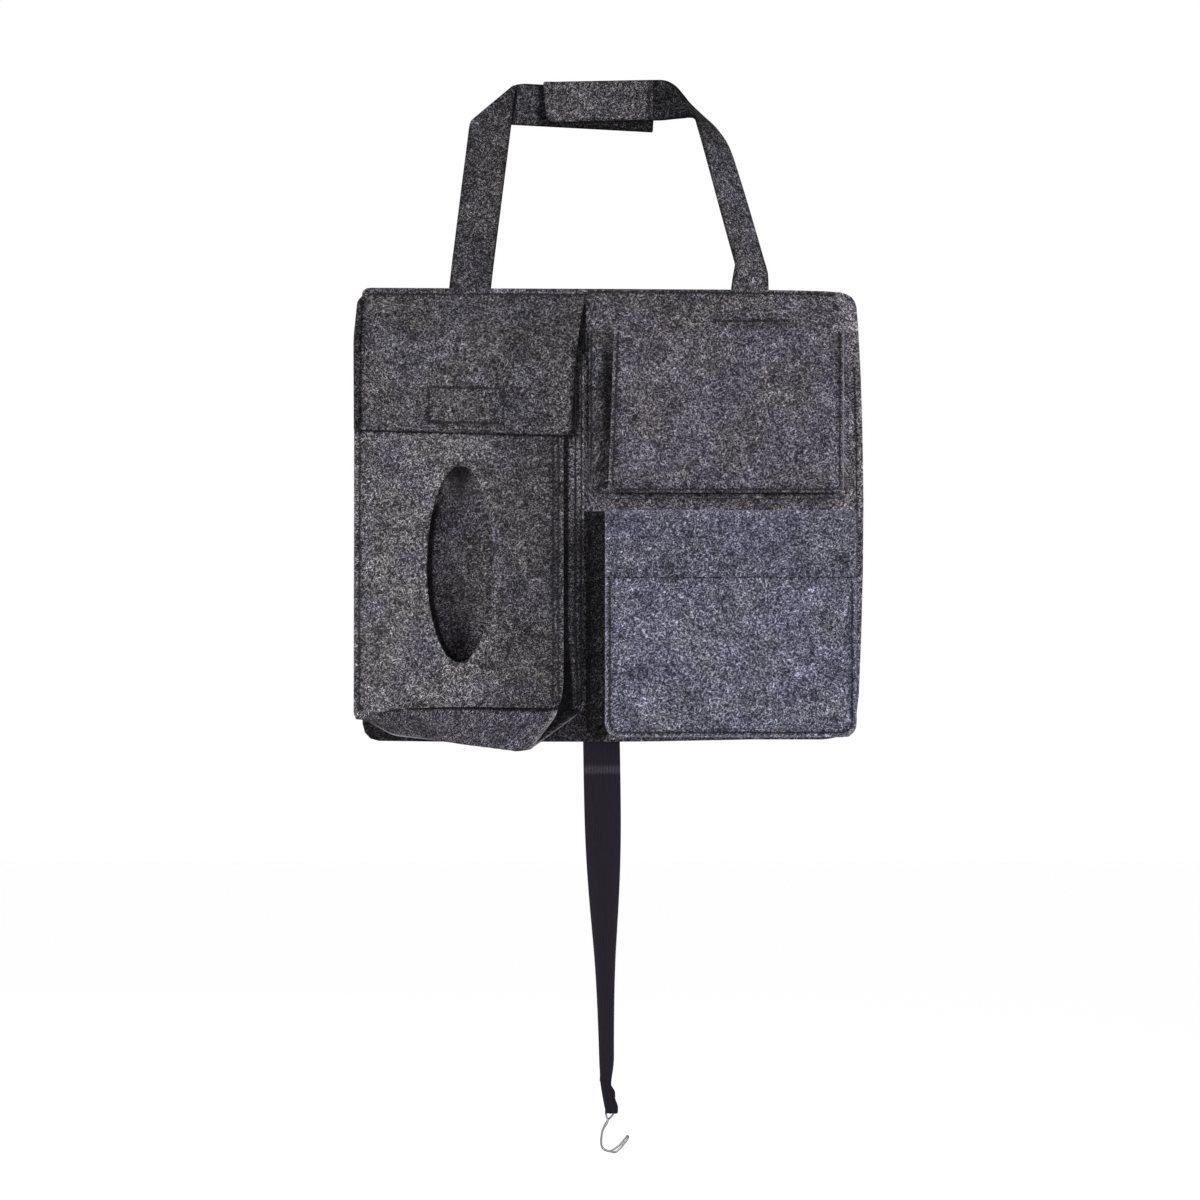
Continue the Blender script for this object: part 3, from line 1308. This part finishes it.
flap = cloth(
    "flap_cloth", flap_outline, flap_surface, FELT, felt_flap, seams=flap_seams, grid=(3.0, 2.4),
    shade=lambda s, t: flap_edge_shade(s, t) * smoothstep(-t, 40, 70) * smoothstep(s, -212, -206),
)
flap_threads = stitch_rows("flap_stitches", flap_seams[:1], flap_surface, FELT)
flap_top_threads = stitch_rows("flap_top_stitches", flap_seams[1:2], flap_surface, FELT)
bend(flap, "felt", ("panel", "flap"), -144, -150.5, "pouch_flap", "flap_foot")
ride(flap_threads, "flap", "felt")
ride(flap_top_threads, "panel", "felt")
declare(flap_outline)

flap_lean = math.atan2(POUCH_DEPTHS[1] - POUCH_DEPTHS[0], POUCH_HEIGHT)
patch_z = pouch["top"] - FLAP_LENGTH * 0.62
patch_back = -pouch["depth_at"](patch_z) - FELT
patch(
    "flap_hooks", FLAP_PATCH, (FLAP_PATCH_X, patch_back - CLEAR - PATCH_FELT / 2, patch_z), flap_lean,
    hook_tape, "panel",
    "pouch_hook_patch",
)
patch(
    "flap_loops", FLAP_PATCH, (FLAP_PATCH_X, patch_back - 2 * CLEAR - 1.5 * PATCH_FELT, patch_z), flap_lean,
    loop_tape,
    "flap", "flap_loop_patch",
)


# Elastic strap: flat where it is sewn on, curled and narrower towards the hook, gathered round the hook's eye
CREASE_Z = -542


def elastic_section(s, t):
    curl = np.maximum(smoothstep(t, 0, 1.05), 0.001) / ELASTIC_CURL_RADIUS
    angle = s * curl
    flattening = lerp(1, ELASTIC_FLATTENING, t)
    return np.sin(angle) / curl, (1 - np.cos(angle)) / curl * flattening


def elastic_spot(s, z):
    t = np.clip((ELASTIC_TOP - z) / ELASTIC_LENGTH, 0, 1)
    x, y = elastic_section(s, t)
    behind = lerp(PANEL_FELT + ELASTIC_FELT / 2 + 0.1, ELASTIC_Y, smoothstep(-z, 519, 536))
    crease = 0.9 * np.exp(-(((z - CREASE_Z) / 2.2) ** 2))
    return np.stack([ELASTIC_X + ELASTIC_DRIFT * t + x, behind + y + crease, z], axis=-1)


def elastic_top_surface(s, t):
    return elastic_spot(s, PANEL_BOTTOM + ELASTIC_FOOT_HEIGHT - t)


half_elastic = ELASTIC_WIDTH / 2
top_length = PANEL_BOTTOM + ELASTIC_FOOT_HEIGHT - CREASE_Z
elastic_top_outline = rectangle(-half_elastic, half_elastic, 0, top_length, 0.4)
elastic_box = [closed_line(rectangle(-half_elastic + 2.5, half_elastic - 2.5, 2.5, 21))]
elastic_top = cloth(
    "elastic_top_cloth", elastic_top_outline, elastic_top_surface, ELASTIC_FELT, webbing, seams=elastic_box,
    grid=(1.6, 2.0), shade=lambda s, t: 0.8 * smoothstep(t, top_length - 5, top_length - 1),
)
normal = surface_frame(elastic_top_surface, np.array([[0.0, 10.0]]))[1][0]
elastic_threads = stitch_rows(
    "elastic_stitches", elastic_box, elastic_top_surface, ELASTIC_FELT + 0.5, side=1 if normal[1] > 0 else -1
)
bend(elastic_top, "elastic", ("panel", "elastic"), -516.5, -523.5, "elastic_foot")
ride(elastic_threads, "panel", "elastic")
declare(elastic_top_outline)

LOOP_BEND = WIRE / 2 + CLEAR + ELASTIC_FELT / 2
LOOP_PINCH = ELASTIC_FELT / 2 + CLEAR / 2
hang_length = CREASE_Z - ELASTIC_BOTTOM
loop_path = [(-LOOP_PINCH, LOOP_TOP + 1.5), (-LOOP_PINCH - 0.3, LOOP_TOP - LOOP_LENGTH / 2)]
for degrees in range(180, 361, 12):
    turn = math.radians(degrees)
    loop_path.append((LOOP_BEND * math.cos(turn), BAR_Z + LOOP_BEND * math.sin(turn)))
loop_path += [(LOOP_PINCH + 0.3, LOOP_TOP - LOOP_LENGTH / 2), (LOOP_PINCH, LOOP_TOP - 3)]
loop_path = densify(np.array(loop_path), 0.5, closed=False)
loop_run = np.r_[0, np.cumsum(np.linalg.norm(np.diff(loop_path, axis=0), axis=1))]
loop_total = float(loop_run[-1])


# The gathered end's left and right edges: depths, then places across
GATHER_LEFT = ([790, 797, 805, 815, 822, 829], [-11.5, -10.9, -9.9, -8.4, -7.1, -5.6])
GATHER_RIGHT = (
    [790, 797, 805, 809, 812, 815, 819, 823, 827, 829.5],
    [0.8, -0.1, -0.6, -0.4, 2.1, 3.0, 2.5, 4.2, 5.4, 4.9]
)


def elastic_surface(s, t):
    z = np.minimum(CREASE_Z - t, CREASE_Z)
    hanging = elastic_spot(s, np.maximum(z, ELASTIC_BOTTOM))
    at = np.clip(t - hang_length, 0, loop_total)
    y = LOOP_Y + np.interp(at, loop_run, loop_path[:, 0])
    low = np.interp(at, loop_run, loop_path[:, 1])
    z = np.where(t > hang_length, low, z)
    pleat = 0.8 * np.sin(s / half_elastic * math.pi * 2.5) * smoothstep(at, 0, 6)
    x = lerp(np.interp(-z, *GATHER_LEFT), np.interp(-z, *GATHER_RIGHT), s / ELASTIC_WIDTH + 0.5)
    gathered = np.stack([x, y + pleat * np.where(at < loop_total / 2, -1, 1), low], axis=-1)
    join = smoothstep(t, hang_length - 20, hang_length - 4)[:, None]
    hanging[:, 2] = np.where(t > hang_length, low, hanging[:, 2])
    return lerp(hanging, gathered, join)


elastic_outline = rectangle(-half_elastic, half_elastic, 0, hang_length + loop_total, 0.4)
elastic_hang = cloth(
    "elastic_cloth", elastic_outline, elastic_surface, 1.3, webbing, grid=(1.2, 2.0),
    shade=lambda s, t: 0.8 * (1 - smoothstep(t, 1, 4)),
)
bend(elastic_hang, "elastic", ("elastic", "elastic_end"), CREASE_Z, -802.5, "elastic_strap", "elastic_loop")
declare(elastic_outline)


# Hook: one bent wire, doubled
def tube(name, points, radius, sides, material):
    points = np.asarray(points, float)
    ahead = unit(np.gradient(points, axis=0))
    side = unit(np.cross(ahead[0], (0.3, 1.0, 0.2)))
    vertices, faces = [], []
    for k, (point, direction) in enumerate(zip(points, ahead)):
        side = unit(side - direction * (side @ direction))
        other = np.cross(direction, side)
        for m in range(sides):
            angle = math.tau * m / sides
            vertices.append(point + (side * math.cos(angle) + other * math.sin(angle)) * radius)
        if k:
            first = (k - 1) * sides
            for m in range(sides):
                a, b = first + m, first + (m + 1) % sides
                faces.append((a, b, b + sides, a + sides))
    faces.append(tuple(reversed(range(sides))))
    last = (len(points) - 1) * sides
    faces.append(tuple(last + m for m in range(sides)))
    return new_object(name, vertices, faces, material)


def hook_strand(sign):
    eye_middle, eye_half, eye_height, strand_gap = 2.7, 3.6, 9, 1.5
    y = sign * (WIRE + strand_gap) / 2
    end = eye_middle + sign * eye_half
    points = [
        (eye_middle + sign * CLEAR / 2, 0, 0), (eye_middle + sign * eye_half / 2, 0, 0),
        (end - sign * WIRE / 2, 0, 0),
        (end, 0, -WIRE / 2), (lerp(end, 0.4, 0.35), y / 4, -eye_height / 2), (0.4, y, -eye_height),
    ]
    points += [(x, y, z - 0.3 * sign) for x, z in HOOK_SHANK]
    return points + [(x, y, z + 1.1 * sign) for x, z in HOOK_TIP]


HOOK_SHANK = [(-3.4, -16), (-4.6, -22), (-4.9, -27), (-3.9, -31), (-1.2, -33.2), (2.8, -34.2)]
HOOK_TIP = [(7.0, -33.4), (11, -30.2), (14.5, -26), (17, -23)]
strand_left, strand_right = hook_strand(-1), hook_strand(1)
tip_low, tip_high = np.array(strand_left[-1]), np.array(strand_right[-1])
bight = (tip_low + tip_high) / 2 + (WIRE / 2, 0, WIRE / 2)
hook_points = np.array([*strand_left, bight, *reversed(strand_right)]) + (LOOP_X, LOOP_Y, BAR_Z)
hook_path = along_rail(hook_points, np.linspace(0, len(hook_points) - 1, 260))
hook = tube("hook_wire", hook_path, WIRE / 2, 14, steel)
ride(hook, "hook", "steel", "seat_hook")


# Camera, lights and floor
def look_at(thing, target):
    thing.rotation_euler = (Vector(target) - thing.location).to_track_quat("-Z", "Y").to_euler()


camera = bpy.data.objects.new("camera", bpy.data.cameras.new("camera"))
camera.location = (-0.01008, -1.5, -0.399)
camera.rotation_euler = (math.pi / 2, 0, 0)
camera.data.lens = 53.57
camera.data.sensor_width = 36
camera.data.sensor_fit = "HORIZONTAL"
camera.data.clip_start = 0.01
bpy.context.scene.collection.objects.link(camera)
bpy.context.scene.camera = camera


def area_light(name, location, target, size, energy, colour):
    lamp = bpy.data.lights.new(name, "AREA")
    lamp.size = size
    lamp.energy = energy
    lamp.color = colour
    placed = bpy.data.objects.new(name, lamp)
    placed.location = location
    look_at(placed, target)
    bpy.context.scene.collection.objects.link(placed)


area_light("key", (-1.25, -1.65, -0.12), (0, 0, -0.38), 0.7, 19, (1.0, 0.99, 0.98))
area_light("side", (1.25, -1.6, -0.12), (0, 0, -0.38), 0.8, 18.5, (0.96, 0.97, 1.0))
area_light("fill", (0.1, -2.2, 0.1), (0, 0, -0.35), 1.6, 4, (0.98, 0.98, 1.0))
area_light("back", (0.4, 1.8, 0.8), (0, 0, -0.35), 1.6, 15, (1.0, 1.0, 1.0))


def camera_rays(tree):
    path = tree.nodes.new("ShaderNodeLightPath")
    seen = math_node(tree, "MAXIMUM", path.outputs["Is Camera Ray"], path.outputs["Is Glossy Ray"])
    return math_node(tree, "MAXIMUM", seen, path.outputs["Is Transmission Ray"])


world = bpy.data.worlds.new("studio")
world.use_nodes = True
tree = world.node_tree
tree.nodes.clear()
sky = add_node(tree, "ShaderNodeBackground", None, Color=(1, 1, 1, 1))
tree.links.new(math_node(tree, "MULTIPLY_ADD", camera_rays(tree), 0.85, 0.15), sky.inputs["Strength"])
world_output = tree.nodes.new("ShaderNodeOutputWorld")
tree.links.new(sky.outputs[0], world_output.inputs["Surface"])
bpy.context.scene.world = world

FLOOR_Z = -1500
floor_material, tree, shader = new_material("pale_floor")
shader.inputs["Base Color"].default_value = (0.86, 0.86, 0.86, 1)
shader.inputs["Roughness"].default_value = 0.9
shader.inputs["Emission Color"].default_value = (1, 1, 1, 1)
tree.links.new(math_node(tree, "MULTIPLY", camera_rays(tree), 0.8), shader.inputs["Emission Strength"])
floor = new_object(
    "floor", [(x, y, FLOOR_Z) for x, y in ((-6000, -6000), (6000, -6000), (6000, 6000), (-6000, 6000))],
    [(0, 1, 2, 3)], floor_material,
)

bpy.context.scene.view_settings.view_transform = "Standard"
